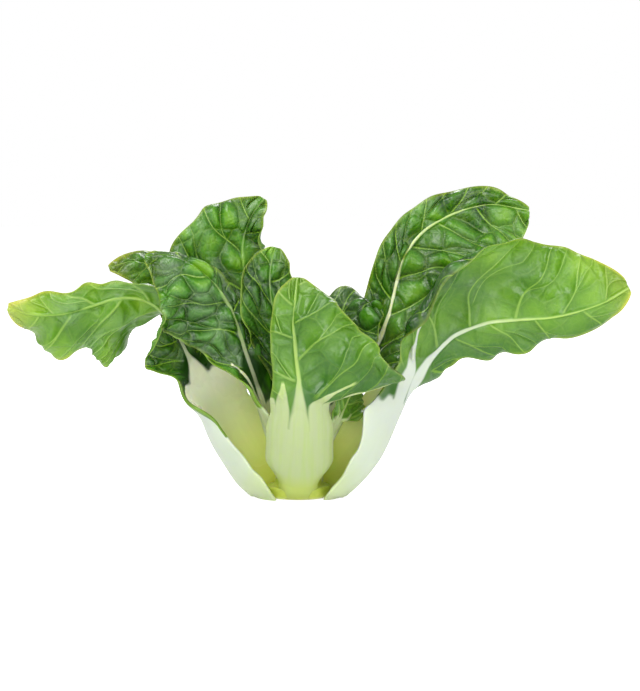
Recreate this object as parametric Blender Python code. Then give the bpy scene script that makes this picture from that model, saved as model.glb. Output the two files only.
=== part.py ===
# A head of bok choy, standing on its cut stem, with its leaves splayed out.
# Each leaf is a pale stalk that runs on into the blade as a tapering rib, and a green blade around that rib.
# Metres, +Z up, the origin at the middle of the cut face. The front of the head faces -Y.

import math

import bpy
import numpy as np

MM = 0.001

# Driving sizes, in millimetres
CLEARANCE = 0.35  # between neighbouring solids
CUT_RADIUS = 16.6  # the stem core where it was cut
TERRACES = ((CUT_RADIUS, 5.4), (11.4, 9.6), (6.9, 13.6), (3.4, 17.0))  # (radius, top): each ring of stalks sits on one
BLADE_THICK = 0.8
RIB_THICK = 2.4  # the rib where it enters the blade
RIB_HALF = 2.6
STALK_EDGE = 1.3

# Each ring of stalks: (radius of the stalks' middle, height where they start, thickness)
RINGS = {
    "outer": (20.0, 0.0, 5.6),
    "second": (14.2, 5.8, 4.4),
    "third": (9.4, 10.0, 3.6),
    "heart": (5.4, 14.0, 2.6),
}

# One entry for each leaf. azimuth is where it leaves the stem, from +X and anticlockwise from above.
# path is its midline from there, in millimetres, and neck the point of it where the blade begins.
# facing is where the leaf's upper side looks. Left and right are those of somebody standing on the stem
# and looking outwards along the leaf. Every list holds values spaced evenly along the stalk (stalk, cup),
# the leaf (facing) or the blade (the rest). stalk, left and right are half widths in millimetres;
# cup, fold and curl are degrees by which the two halves bend towards the upper side or, below zero, away from it.
LEAVES = {
    "right": dict(
        ring="outer", azimuth=10, neck=6,
        path=[(28.5, 4, 8), (36, 4, 17), (43, 3, 28), (49, 2, 40), (54, 0, 51), (60, -2, 61), (67, -4, 71), (78, -5, 81),
              (93, -6, 87), (108, -6, 89), (124, -6, 90), (139, -5, 93), (153, -4, 98), (165, -4, 105)],
        facing=[(-0.9, -0.3, 0.4), (-0.8, 0, 0.6), (-0.2, 0.9, 0.3), (0, 1, 0.15), (0, 1, 0.1), (0, 1, 0.1), (0, 1, 0.1)],
        stalk=[21, 28, 30, 13], cup=[82, 76, 42],
        left=[12, 22, 19, 15, 16, 13], right=[34, 46, 45, 41, 37, 28],
        fold=([0, 15, 25, 20], [0, 10, 20, 15]), curl=([10, 20, 20, 10], [-120, -190, -80, 20, 25]),
        ruffle=(16, 12), waves=(3.5, 3.0),
    ),
    "left": dict(
        ring="outer", azimuth=160, neck=6,
        path=[(-27, 9, 7), (-34, 10, 17), (-40, 10, 28), (-45, 9, 40), (-49, 8, 52), (-53, 6, 63), (-58, 3, 75),
              (-64, 0, 87), (-73, -4, 97), (-87, -8, 100), (-102, -9, 96), (-117, -9, 92), (-132, -8, 92), (-144, -7, 96)],
        facing=[(0.9, -0.35, 0.3), (0.85, -0.4, 0.4), (0.5, -0.85, 0.3), (0.2, -0.8, 0.6), (-0.1, 0.8, 0.6), (0, 1, 0.2),
                (0, 0.9, 0.4), (0, 0.8, 0.5)],
        stalk=[27, 29, 31, 26, 14], cup=[78, 70, 62, 45],
        left=[26, 17, 9, 13, 15, 9], right=[26, 41, 40, 29, 32, 19],
        fold=([10, 0, 15, 20], [-5, 0, 10, 25]), curl=([-10, -60, -40, 20], [0, 20, 30, 30]),
        ruffle=(20, 25), waves=(2.5, 3.0),
    ),
    "back": dict(
        ring="second", azimuth=85, neck=4,
        path=[(2, 20, 18), (3, 28, 32), (4, 36, 46), (5, 44, 58), (8, 56, 68), (12, 70, 74), (16, 86, 73), (20, 100, 66),
              (23, 110, 56)],
        facing=[(0, -1, 0.4), (0, -0.9, 0.8), (0, -0.4, 1), (0, 0.2, 1), (0, 0.5, 0.8)],
        stalk=[13, 17, 12], cup=[62, 45],
        left=[18, 28, 33, 29, 17], right=[18, 29, 33, 28, 17],
        fold=([20, 20, 15, 0], [20, 20, 15, 0]), curl=([0, 20, -10, -40], [0, 10, -20, -40]),
        ruffle=(16, 16), waves=(2.0, 2.3),
    ),
    "front": dict(
        ring="second", azimuth=-90, neck=3,
        path=[(0.5, -19, 16), (1, -24, 32), (1, -26, 48), (0.5, -26, 62), (-1, -26, 76), (-2, -26, 90), (-1, -24, 102),
              (0, -19, 111)],
        facing=[(0, 1, 0), (0, 1, 0), (0.1, 1, 0), (0.15, 1, 0), (0.1, 1, -0.3)],
        stalk=[10, 18.5, 18.5, 15], cup=[50, 45],
        left=[54, 42, 33, 24, 13], right=[13, 12, 12, 12, 10],
        fold=([-8, 0, 5, 5], [-12, -8, 0, 0]), curl=([-25, -30, -20, -10], [20, 20, 10, 0]),
        ruffle=(12, 12), waves=(2.5, 2.5),
    ),
    "back_right": dict(
        ring="third", azimuth=28, neck=2,
        path=[(14, 10, 28), (24, 17, 48), (34, 22, 64), (43, 25, 80), (48, 26, 96), (51, 27, 110), (56, 29, 122),
              (66, 32, 133), (81, 35, 141), (98, 37, 145), (119, 39, 142)],
        facing=[(-0.8, -0.6, 0.3), (-0.6, -0.8, 0.2), (-0.2, -1, 0), (0, -1, 0.1), (0, -1, 0.2), (0, -1, 0.3)],
        stalk=[6.6, 16, 13], cup=[45, 40],
        left=[15, 15, 14, 13, 10], right=[24, 42, 53, 54, 38],
        fold=([30, 28, 20, 10], [20, 22, 20, 10]), curl=([10, -10, -30, -50], [0, 10, 0, -30]),
        ruffle=(14, 12), waves=(2.5, 2.3),
    ),
    "back_left": dict(
        ring="third", azimuth=117, neck=2,
        path=[(-9, 13, 28), (-16, 22, 46), (-22, 32, 64), (-36, 38, 84), (-53, 38, 100), (-70, 35, 111), (-84, 31, 116),
              (-97, 26, 113)],
        facing=[(0.4, -0.9, 0.3), (0.4, -0.9, 0.4), (0.3, -0.9, 0.6), (0, -0.9, 0.5), (-0.2, -0.8, 0.8)],
        stalk=[6.6, 10, 8], cup=[45, 40],
        left=[15, 22, 24, 18, 12], right=[20, 20, 16, 12, 10],
        fold=([10, 10, -10, -30], [10, 0, -10, -20]), curl=([10, -20, -30, -30], [10, 10, -20, -30]),
        ruffle=(18, 18), waves=(3.0, 2.5),
    ),
    "left_inner": dict(
        ring="third", azimuth=205, neck=3,
        path=[(-13, -5, 28), (-19, -7, 48), (-23, -9, 62), (-27, -11, 76), (-31, -13, 90), (-37, -14, 102),
              (-47, -15, 113), (-61, -16, 121), (-75, -16, 121)],
        facing=[(0.9, 0.1, 0.2), (0.8, -0.4, 0.3), (0.4, -0.9, 0.3), (0, -0.8, 0.6), (-0.2, -0.6, 0.8), (-0.3, -0.6, 0.8)],
        stalk=[6.6, 9, 6], cup=[45, 40],
        left=[20, 31, 36, 34, 19], right=[10, 10, 10, 10, 8],
        fold=([10, -10, -20, -25], [0, -20, -30, -25]), curl=([10, 20, -20, -40], [0, -20, -30, -20]),
        ruffle=(16, 12), waves=(3.0, 3.0),
    ),
    "heart_right": dict(
        ring="third", azimuth=-55, neck=3,
        path=[(8, -10, 20), (13, -12, 29), (19, -12, 38), (23, -10, 46), (28, -8, 53), (34, -5, 55), (39, -2, 51)],
        facing=[(-0.8, 0.6, 0.2), (-0.7, 0.7, 0.3), (-0.4, 0.6, 0.6), (0, -0.1, 0.9)],
        stalk=[5.9, 6, 4], cup=[40, 30],
        left=[11, 14, 14, 10], right=[12, 14, 14, 10],
        fold=([0, 0, 0], [0, 0, 0]), curl=([-20, -40, -20], [-20, -40, -20]),
        ruffle=(24, 24), waves=(2.5, 2.5),
    ),
    "back_inner": dict(
        ring="heart", azimuth=-30, neck=3,
        path=[(7.5, -2, 30), (10.5, 1, 46), (13, 5, 60), (17, 8, 73), (24, 10, 84), (33, 10, 91), (43, 9, 93)],
        facing=[(-0.8, -0.1, 0.2), (-0.6, -0.7, 0.3), (-0.3, -0.9, 0.5), (-0.2, -0.6, 0.9)],
        stalk=[4.2, 5, 5], cup=[40, 30],
        left=[16, 22, 22, 14], right=[16, 24, 24, 16],
        fold=([15, 20, 0], [15, 20, 0]), curl=([-20, -40, -40], [-20, -40, -40]),
        ruffle=(14, 14), waves=(3.0, 3.0),
    ),
    "upper_left": dict(
        ring="heart", azimuth=192, neck=3,
        path=[(-8, 0, 30), (-11, 6, 52), (-16, 9, 74), (-22, 12, 93), (-27, 13, 110), (-28, 13, 126), (-24, 12, 139),
              (-17, 10, 149)],
        facing=[(0.9, -0.4, 0.1), (0.5, -0.9, 0.1), (0.2, -1, 0.1), (0.2, -1, 0.2), (0.2, -0.9, 0.5)],
        stalk=[4.2, 5, 5], cup=[40, 30],
        left=[20, 32, 38, 28, 13], right=[10, 14, 14, 12, 8],
        fold=([10, 10, 10], [10, 20, 20]), curl=([-20, -30, -40], [20, 90, 120]),
        ruffle=(16, 12), waves=(3.0, 3.0),
    ),
    "hood": dict(
        ring="heart", azimuth=80, neck=2,
        path=[(1, 6, 30), (-1, 5, 48), (-4, 2, 64), (-8, -3, 80), (-12, -7, 94), (-14, -7, 107), (-13, -5, 118),
              (-11, -2, 125)],
        facing=[(0, -1, 0), (0, -1, 0), (0, -1, 0), (0, -1, 0), (0, -1, 0)],
        stalk=[4, 4.4, 5], cup=[35, 30],
        left=[12, 16, 19, 18, 13], right=[12, 18, 18, 15, 12],
        fold=([15, 30, 10], [25, 30, 10]), curl=([20, 20, 40], [20, 20, 40]),
        ruffle=(12, 12), waves=(2.0, 2.0),
    ),
}

LARGE_BLADE = 24  # a blade wider than this, from rib to edge, gets the finer grid
FINE_GRID = dict(rows=16, columns=(0, 0.06, 0.16, 0.32, 0.52, 0.75, 1))
PLAIN_GRID = dict(rows=11, columns=(0, 0.1, 0.3, 0.62, 1))
STALK_ROWS = 6
SLOW_TURN = 80  # in steps of the midline, of which a leaf has 240

STALK_COLOUR = (0.74, 0.83, 0.56, 1)
CORE_COLOUR = (0.62, 0.68, 0.28, 1)
BLADE_COLOUR = (0.09, 0.27, 0.03, 1)


def smooth(edge_0, edge_1, x):
    t = np.clip((x - edge_0) / (edge_1 - edge_0), 0, 1)
    return t * t * (3 - 2 * t)


def track(values, x):
    """Values spaced evenly over x from 0 to 1, joined by smooth steps."""
    values = np.asarray(values, float)
    place = np.clip(x, 0, 1) * (len(values) - 1)
    low = np.minimum(place.astype(int), len(values) - 2)
    t = place - low
    t = t * t * (3 - 2 * t)
    return values[low] * (1 - t) + values[low + 1] * t


def spline(points, steps=40):
    """A smooth curve through the points, and each point's share of the curve's length."""
    p = np.asarray(points, float)
    p = np.vstack([2 * p[0] - p[1], p, 2 * p[-1] - p[-2]])
    t = np.linspace(0, 1, steps, endpoint=False)[:, None]
    runs = []
    for a, b, c, d in zip(p, p[1:], p[2:], p[3:]):
        runs.append(0.5 * (2 * b + (c - a) * t + (2 * a - 5 * b + 4 * c - d) * t**2 + (3 * b - a - 3 * c + d) * t**3))
    line = np.vstack(runs + [p[-2:-1]])
    length = np.concatenate([[0], np.cumsum(np.linalg.norm(np.diff(line, axis=0), axis=1))])
    return line, length / length[-1], length[-1]


class Leaf:
    """The middle surface of one leaf, as a function of u along it and q across it, both in millimetre space."""

    def __init__(self, name, ring, azimuth, path, neck, facing, stalk, cup, left, right, fold, curl, ruffle, waves):
        radius, start, self.stalk_thick = RINGS[ring]
        outwards = np.array([math.cos(math.radians(azimuth)), math.sin(math.radians(azimuth)), 0])
        base = radius * outwards + (0, 0, start)
        line, share, self.length = spline([base] + path)
        self.name, self.start = name, start
        self.neck = share[neck * 40]
        self.u = np.linspace(0, 1, 240)
        self.middle = np.array([np.interp(self.u, share, line[:, k]) for k in range(3)]).T
        self.stalk, self.blade = stalk, (stalk[-1:] + left, stalk[-1:] + right)
        self.cup = [math.degrees(stalk[0] / radius)] + cup
        self.fold, self.curl, self.ruffle, self.waves = fold, curl, ruffle, waves
        self.large = max(left + right) > LARGE_BLADE
        self.set_frame([-outwards] + facing)

    def set_frame(self, facing):
        """The leaf's own directions along its midline: across it, and out of its upper side."""
        along = np.gradient(self.middle, axis=0)
        along /= np.linalg.norm(along, axis=1)[:, None]
        along[0] = (0, 0, 1)
        # In the blade the rows turn more slowly than the midline, so that they never cross in a bend
        window = np.hanning(2 * SLOW_TURN + 1)[:, None] / SLOW_TURN
        padded = np.pad(along, ((SLOW_TURN, SLOW_TURN), (0, 0)), mode="edge")
        slow = np.array([(padded[i : i + 2 * SLOW_TURN + 1] * window).sum(0) for i in range(len(along))])
        share = smooth(0.6 * self.neck, self.neck + 0.1, self.u)[:, None]
        along = along * (1 - share) + slow * share
        along /= np.linalg.norm(along, axis=1)[:, None]
        looks = np.array([track([f[k] for f in facing], self.u) for k in range(3)]).T
        normal = looks - along * (looks * along).sum(1)[:, None]
        self.normal = normal / np.linalg.norm(normal, axis=1)[:, None]
        self.across = np.cross(along, self.normal)

    def along_blade(self, u):
        return np.clip((u - self.neck) / (1 - self.neck), 0, 1)

    def half_width(self, u, side):
        """From the midline to the edge; side is 0 on the leaf's left and 1 on its right."""
        x = self.along_blade(u)
        stalk = track(self.stalk, u / self.neck)
        return np.where(u < self.neck, stalk, track(self.blade[side], x) * np.sqrt(1 - 0.98 * x**6))

    def stalk_half(self, u, side):
        """From the midline to the edge of the pale stalk or rib."""
        past = (u - self.neck) * self.length
        flare = 0.9 * self.stalk[-1]
        rib = RIB_HALF * np.clip(1 - past / self.rib_length(), 0.2, 1)
        narrowing = self.half_width(self.neck, side) * np.clip(1 - past / flare, 0, 1) ** 2
        return np.where(past < 0, self.half_width(u, side), narrowing + rib)

    def rib_length(self):
        return 0.5 * (1 - self.neck) * self.length

    def bend(self, u, a, side):
        """The angle by which the section has turned from flat, at share a from the midline to the edge."""
        x = self.along_blade(u)
        in_blade = smooth(-0.05, 0.12, (u - self.neck))
        cup = track(self.cup, u / self.neck)
        wave = self.ruffle[side] * np.sin(2 * math.pi * (self.waves[side] * x + 0.37 * side)) * smooth(0, 0.15, x)
        blade = track(self.fold[side], x) * smooth(0, 0.35, a) + track(self.curl[side], x) * a**3 + wave * a**1.5
        blade = blade * (1 - smooth(0.88, 1, x))
        return np.radians((1 - in_blade) * cup * a + in_blade * blade)

    def point(self, u, q):
        """The middle surface at share u of the length and share q, -1 to 1, of the width."""
        u, q = np.broadcast_arrays(np.asarray(u, float), np.asarray(q, float))
        a = np.abs(q)
        place = [np.interp(u, self.u, self.middle[:, k]) for k in range(3)]
        across = np.array([np.interp(u, self.u, self.across[:, k]) for k in range(3)])
        normal = np.array([np.interp(u, self.u, self.normal[:, k]) for k in range(3)])
        out, up = np.zeros_like(a), np.zeros_like(a)
        for side, sign in ((0, -1), (1, 1)):
            reach = self.half_width(u, side)
            steps = (np.arange(16) + 0.5) / 16
            angles = np.array([self.bend(u, a * s, side) for s in steps])
            here = (q < 0) if side == 0 else (q >= 0)
            out = np.where(here, sign * reach * a * np.cos(angles).mean(0), out)
            up = np.where(here, reach * a * np.sin(angles).mean(0), up)
        return np.moveaxis(np.array(place) + across * out + normal * up, 0, -1)

    def surface(self, u, q):
        """Points and unit normals of the middle surface; the normal is on the leaf's upper side."""
        du, dq = 1e-3, 1e-2
        along = self.point(np.minimum(u + du, 1), q) - self.point(np.maximum(u - du, 0), q)
        across = self.point(u, np.minimum(q + dq, 1)) - self.point(u, np.maximum(q - dq, -1))
        normal = np.cross(across, along)
        return self.point(u, q), normal / np.linalg.norm(normal, axis=-1)[..., None]


def shell(name, middle, normal, thickness, base_z, material):
    """A closed solid from a grid of points: the grid's two faces and a rim, split into triangles alike."""
    half = normal * thickness[..., None] / 2
    upper, lower = middle + half, middle - half
    if base_z is not None:
        upper[0, :, 2] = lower[0, :, 2] = base_z
    rows, columns = middle.shape[:2]
    count = rows * columns
    index = np.arange(count).reshape(rows, columns)
    faces = []
    for i in range(rows - 1):
        for j in range(columns - 1):
            a, b, c, d = index[i, j], index[i, j + 1], index[i + 1, j + 1], index[i + 1, j]
            halves = ((a, b, c), (a, c, d)) if (i + j) % 2 else ((a, b, d), (b, c, d))
            for p, q, r in halves:
                faces += [(p, q, r), (r + count, q + count, p + count)]
    ring = list(index[0]) + list(index[1:, -1]) + list(index[-1, -2::-1]) + list(index[-2:0:-1, 0])
    for p, q in zip(ring, ring[1:] + ring[:1]):
        faces += [(p, p + count, q + count), (p, q + count, q)]
    mesh = bpy.data.meshes.new(name)
    mesh.from_pydata(np.vstack([upper.reshape(-1, 3), lower.reshape(-1, 3)]) * MM, [], [tuple(map(int, f)) for f in faces])
    mesh.materials.append(material)
    mesh.shade_smooth()
    obj = bpy.data.objects.new(name, mesh)
    bpy.context.scene.collection.objects.link(obj)
    return obj


def border(leaf, columns):
    """Where the blade begins, one place for each column: u, and the shares of the width on either side."""
    u = np.linspace(leaf.neck, leaf.neck + leaf.rib_length() / leaf.length, 400)
    share = [(leaf.stalk_half(u, side) + 1.9 * CLEARANCE) / leaf.half_width(u, side) for side in (0, 1)]
    first = u[np.argmax(np.maximum(*share) < 1)]
    place = u[-1] + (first - u[-1]) * columns**1.3
    q = [np.interp(place, u, row) * (columns > 0) for row in share]
    return place, q


def make_blade(leaf, material):
    grid = FINE_GRID if leaf.large else PLAIN_GRID
    columns = np.array(grid["columns"])
    place, (left, right) = border(leaf, columns)
    first = np.concatenate([place[::-1], place[1:]])
    p = np.linspace(0, 1, grid["rows"] + 1)[:, None]
    p = 1 - (1 - p) ** 1.35
    u = first + (0.998 - first) * p
    spread = smooth(0, 0.35, p)
    even = np.concatenate([-columns[::-1], columns[1:]])
    q = np.concatenate([-left[::-1], right[1:]]) * (1 - spread) + even * spread
    middle, normal = leaf.surface(u, q)
    from_rib = np.abs(q) * leaf.half_width(u, 1)
    thickness = BLADE_THICK + (RIB_THICK / 2) * np.exp(-((from_rib / 2.5) ** 2)) * (1 - leaf.along_blade(u))
    return shell("blade_" + leaf.name, middle, normal, thickness, None, material)


def make_stalk(leaf, material):
    grid = FINE_GRID if leaf.large else PLAIN_GRID
    place, _ = border(leaf, np.array(grid["columns"])[::-1])
    place[-1] -= 0.5 * (place[-1] - place[-2])
    rows = np.concatenate([np.linspace(0, leaf.neck, STALK_ROWS + 1), place])
    share = np.linspace(-1, 1, 9 if leaf.start == 0 else 7)
    u = np.broadcast_to(rows[:, None], (len(rows), len(share)))
    reach = [leaf.stalk_half(u, side) / leaf.half_width(u, side) for side in (0, 1)]
    q = share * np.where(share < 0, *[np.minimum(r, 1) for r in reach])
    middle, normal = leaf.surface(u, q)
    into_blade = smooth(0.8 * leaf.neck, leaf.neck + 0.1, u)
    thick = leaf.stalk_thick * (1 - 0.35 * u / leaf.neck).clip(0.5, 1) * (1 - into_blade) + RIB_THICK * into_blade
    taper = np.clip(1 - (u - leaf.neck) * leaf.length / leaf.rib_length(), 0.35, 1)
    edge = np.minimum(STALK_EDGE, thick * taper)
    thickness = edge + (thick * taper - edge) * (1 - share**2) ** 0.7
    return shell("stalk_" + leaf.name, middle, normal, thickness, leaf.start, material)


def make_core(material):
    """The short stem that the stalks grow from, turned in steps, one for each ring of stalks."""
    profile = [(0, 0)]
    bottom = 0
    for radius, top in TERRACES:
        profile += [(radius, bottom), (radius - 0.6, top)]
        bottom = top
    profile.append((0, TERRACES[-1][1]))
    sides = 28
    verts, faces = [], []
    rings = []
    for radius, z in profile:
        if radius == 0:
            rings.append([len(verts)] * sides)
            verts.append((0, 0, z * MM))
            continue
        rings.append([len(verts) + k for k in range(sides)])
        for k in range(sides):
            angle = 2 * math.pi * k / sides
            verts.append((radius * math.cos(angle) * MM, radius * math.sin(angle) * MM, z * MM))
    for low, high in zip(rings, rings[1:]):
        for k in range(sides):
            n = (k + 1) % sides
            corners = list(dict.fromkeys([low[k], low[n], high[n], high[k]]))
            if len(corners) > 2:
                faces.append(corners)
    mesh = bpy.data.meshes.new("stem_core")
    mesh.from_pydata(verts, [], faces)
    mesh.materials.append(material)
    obj = bpy.data.objects.new("stem_core", mesh)
    bpy.context.scene.collection.objects.link(obj)
    return obj


def plain_material(name, colour, roughness):
    material = bpy.data.materials.new(name)
    material.use_nodes = True
    shader = material.node_tree.nodes["Principled BSDF"]
    shader.inputs["Base Color"].default_value = colour
    shader.inputs["Roughness"].default_value = roughness
    material.diffuse_color = colour
    return material


def main():
    for obj in list(bpy.data.objects):
        bpy.data.objects.remove(obj)
    stalk_skin = plain_material("stalk_pale", STALK_COLOUR, 0.35)
    blade_skin = plain_material("blade_green", BLADE_COLOUR, 0.45)
    make_core(plain_material("stem_core", CORE_COLOUR, 0.5))
    for name, shape in LEAVES.items():
        leaf = Leaf(name, **shape)
        make_stalk(leaf, stalk_skin)
        make_blade(leaf, blade_skin)


main()
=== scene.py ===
# A head of bok choy standing on its cut stem: fine leaves over the frame's solids, their finish, the light
# and the camera
import math

import bpy
import numpy as np
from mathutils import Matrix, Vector


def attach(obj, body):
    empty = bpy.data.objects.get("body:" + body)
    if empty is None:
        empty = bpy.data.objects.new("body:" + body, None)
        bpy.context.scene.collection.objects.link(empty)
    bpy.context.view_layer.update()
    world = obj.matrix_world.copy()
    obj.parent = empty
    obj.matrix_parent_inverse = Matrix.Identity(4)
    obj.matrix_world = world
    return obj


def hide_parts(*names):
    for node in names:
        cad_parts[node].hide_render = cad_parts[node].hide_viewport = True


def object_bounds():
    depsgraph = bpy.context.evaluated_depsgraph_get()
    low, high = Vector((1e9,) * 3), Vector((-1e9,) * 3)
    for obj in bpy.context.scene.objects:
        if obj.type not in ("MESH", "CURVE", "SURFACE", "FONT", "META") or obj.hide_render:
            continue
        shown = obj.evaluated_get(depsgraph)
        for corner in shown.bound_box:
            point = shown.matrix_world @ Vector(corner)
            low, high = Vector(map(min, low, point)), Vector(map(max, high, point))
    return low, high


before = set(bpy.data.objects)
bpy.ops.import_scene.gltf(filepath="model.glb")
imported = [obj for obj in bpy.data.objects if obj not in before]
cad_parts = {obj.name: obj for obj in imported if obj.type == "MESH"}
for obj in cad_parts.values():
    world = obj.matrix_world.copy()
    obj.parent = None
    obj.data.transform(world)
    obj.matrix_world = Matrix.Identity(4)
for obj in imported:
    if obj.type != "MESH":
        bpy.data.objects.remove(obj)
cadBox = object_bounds()
bpy.ops.object.select_all(action="DESELECT")
mm = 0.001  # the sizes and places of the head are in millimetres
print("frame loaded")


def linear(code):  # a hex sRGB colour as the linear values that a shader takes
    parts = [int(code[k : k + 2], 16) / 255 for k in (0, 2, 4)]
    return [c / 12.92 if c <= 0.04045 else ((c + 0.055) / 1.055) ** 2.4 for c in parts] + [1]


# inputs holds each socket's name or number with its value, or with what is linked to it: a socket, or a node,
# which gives its first output
def addNode(tree, kind, inputs, stops=(), **settings):
    node = tree.nodes.new("ShaderNode" + kind)
    for key, value in settings.items():
        setattr(node, key, value)
    for place, value in inputs.items():
        if isinstance(value, bpy.types.Node):
            value = next(socket for socket in value.outputs if socket.enabled)
        if isinstance(value, bpy.types.NodeSocket):
            tree.links.new(value, node.inputs[place])
        else:
            node.inputs[place].default_value = value
    for k, (place, code) in enumerate(stops):  # a colour ramp's stops
        stop = node.color_ramp.elements[k] if k < 2 else node.color_ramp.elements.new(place)
        stop.position, stop.color = place, linear(code)
    return node


relief = dict(
    side=1.5,  # how far the blade swells between its side veins
    cell=1.7,  # and in each cell of the finer net
    pucker=1.3, puckerSize=24,  # and in long soft folds, which are this wide
    margin=1.2, marginSize=24,  # the small waves along the margin, and how long each is
    bundle=0.8,  # how much thicker the blade is along a pale bundle
    ridge=0.09,  # the ribs along the back of a stalk
    blade=0.55, margins=0.35, rib=2.4, stalkEdge=1.3,  # how thick each is
    ribHalf=2.6,  # half the rib's width where it enters the blade
    sunk=5.0, overCut=0.8,  # how far the inner stalks have grown into the stem, but not nearer to its cut
)
# The side veins: lean is how far one runs along the leaf for each mm across it, sweep how much more near its
# margin. stray, tremble and forkStray say by what share it wanders, and over how many mm. It forks between
# the two shares of the half width in fork, and gets thin over fadeOver mm.
veining = dict(
    lean=(0.55, 0.8), sweep=0.25, stray=(0.2, 60), tremble=(0.04, 19), fork=(0.22, 0.8), forkStray=(0.12, 40),
    thin=0.24, wide=0.62, fadeOver=16, forkShare=0.6,
)
largeLeaf = 26  # half widths over this many mm take the larger grid
grids = {"large": (44, 150, 129), "small": (28, 84, 73)}  # rows along stalk and blade, and columns
splineSteps = 40  # steps between two points of a path
midSteps, slowTurn = 240, 80  # steps of a midline, and over how many of them the leaf's direction is evened
bendSteps = 16  # steps in which each half of a leaf is bent


def smooth(low, high, x):
    t = np.clip((x - low) / (high - low), 0, 1)
    return t * t * (3 - 2 * t)


def track(values, x):  # values spaced evenly over x from 0 to 1, joined by smooth steps
    values = np.asarray(values, float)
    place = np.clip(x, 0, 1) * (len(values) - 1)
    low = np.minimum(place.astype(int), len(values) - 2)
    t = place - low
    t = t * t * (3 - 2 * t)
    return values[low] * (1 - t) + values[low + 1] * t


# A smooth curve through the points, how far along it each of its own points lies as a share, and its length
def spline(points):
    p = np.asarray(points, float)
    p = np.vstack([2 * p[0] - p[1], p, 2 * p[-1] - p[-2]])
    t = np.linspace(0, 1, splineSteps, endpoint=False)[:, None]
    runs = []
    for a, b, c, d in zip(p, p[1:], p[2:], p[3:]):
        square, cube = 2 * a - 5 * b + 4 * c - d, 3 * b - a - 3 * c + d
        runs.append(0.5 * (2 * b + (c - a) * t + square * t**2 + cube * t**3))
    line = np.vstack(runs + [p[-2:-1]])
    length = np.concatenate([[0], np.cumsum(np.linalg.norm(np.diff(line, axis=0), axis=1))])
    return line, length / length[-1], length[-1]


# The middle surface of a leaf, worked out as in the frame. u runs from the foot, 0, to the tip, 1, and q
# across the leaf from -1 to 1. Side 0 is the half where q is below 0.
class LeafForm:
    def __init__(self, ring, azimuth, path, neck, facing, stalk, cup, left, right, fold, curl, ruffle, waves,
                 look):
        radius, self.start, self.stalkThick = rings[ring]
        outwards = np.array([math.cos(math.radians(azimuth)), math.sin(math.radians(azimuth)), 0])
        line, share, self.length = spline([radius * outwards + (0, 0, self.start)] + path)
        self.neck = share[neck * splineSteps]
        self.steps = np.linspace(0, 1, midSteps)
        self.middle = np.array([np.interp(self.steps, share, line[:, k]) for k in range(3)]).T
        self.stalk, self.blade = stalk, (stalk[-1:] + left, stalk[-1:] + right)
        self.cup = [math.degrees(stalk[0] / radius)] + cup
        self.fold, self.curl, self.ruffle, self.waves, self.look = fold, curl, ruffle, waves, look
        self.ribLength = 0.5 * (1 - self.neck) * self.length
        self.setFrame([-outwards] + facing)

    def setFrame(self, facing):
        along = np.gradient(self.middle, axis=0)
        along /= np.linalg.norm(along, axis=1)[:, None]
        along[0] = (0, 0, 1)
        window = np.hanning(2 * slowTurn + 1)[:, None] / slowTurn
        padded = np.pad(along, ((slowTurn, slowTurn), (0, 0)), mode="edge")
        slow = np.array([(padded[i : i + 2 * slowTurn + 1] * window).sum(0) for i in range(midSteps)])
        share = smooth(0.6 * self.neck, self.neck + 0.1, self.steps)[:, None]
        along = along * (1 - share) + slow * share
        along /= np.linalg.norm(along, axis=1)[:, None]
        looks = np.array([track([f[k] for f in facing], self.steps) for k in range(3)]).T
        normal = looks - along * (looks * along).sum(1)[:, None]
        self.normal = normal / np.linalg.norm(normal, axis=1)[:, None]
        self.across = np.cross(along, self.normal)

    def alongBlade(self, u):
        return np.clip((u - self.neck) / (1 - self.neck), 0, 1)

    def halfWidth(self, u, side):
        x = self.alongBlade(u)
        stalk = track(self.stalk, u / self.neck)
        return np.where(u < self.neck, stalk, track(self.blade[side], x) * np.sqrt(1 - 0.98 * x**6))

    def stalkHalf(self, u, side):  # of the thick part: the stalk, then the rib
        past = (u - self.neck) * self.length
        rib = relief["ribHalf"] * np.clip(1 - past / self.ribLength, 0.2, 1)
        narrowing = self.halfWidth(self.neck, side) * np.clip(1 - past / (0.9 * self.stalk[-1]), 0, 1) ** 2
        return np.where(past < 0, self.halfWidth(u, side), narrowing + rib)

    def bend(self, u, a, side):
        x = self.alongBlade(u)
        inBlade = smooth(-0.05, 0.12, u - self.neck)
        cup = track(self.cup, u / self.neck)
        wave = np.sin(2 * math.pi * (self.waves[side] * x + 0.37 * side))
        wave = self.ruffle[side] * wave * smooth(0, 0.15, x)
        blade = track(self.fold[side], x) * smooth(0, 0.35, a) + track(self.curl[side], x) * a**3
        blade = blade + wave * a**1.5
        blade = blade * (1 - smooth(0.88, 1, x))
        return np.radians((1 - inBlade) * cup * a + inBlade * blade)

    def point(self, u, q):
        a = np.abs(q)
        place = [np.interp(u, self.steps, self.middle[:, k]) for k in range(3)]
        across = np.array([np.interp(u, self.steps, self.across[:, k]) for k in range(3)])
        normal = np.array([np.interp(u, self.steps, self.normal[:, k]) for k in range(3)])
        out, up = np.zeros_like(a), np.zeros_like(a)
        for side, sign in ((0, -1), (1, 1)):
            reach = self.halfWidth(u, side)
            angles = np.array([self.bend(u, a * s, side) for s in (np.arange(bendSteps) + 0.5) / bendSteps])
            here = (q < 0) if side == 0 else (q >= 0)
            out = np.where(here, sign * reach * a * np.cos(angles).mean(0), out)
            up = np.where(here, reach * a * np.sin(angles).mean(0), up)
        return np.moveaxis(np.array(place) + across * out + normal * up, 0, -1)


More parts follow.
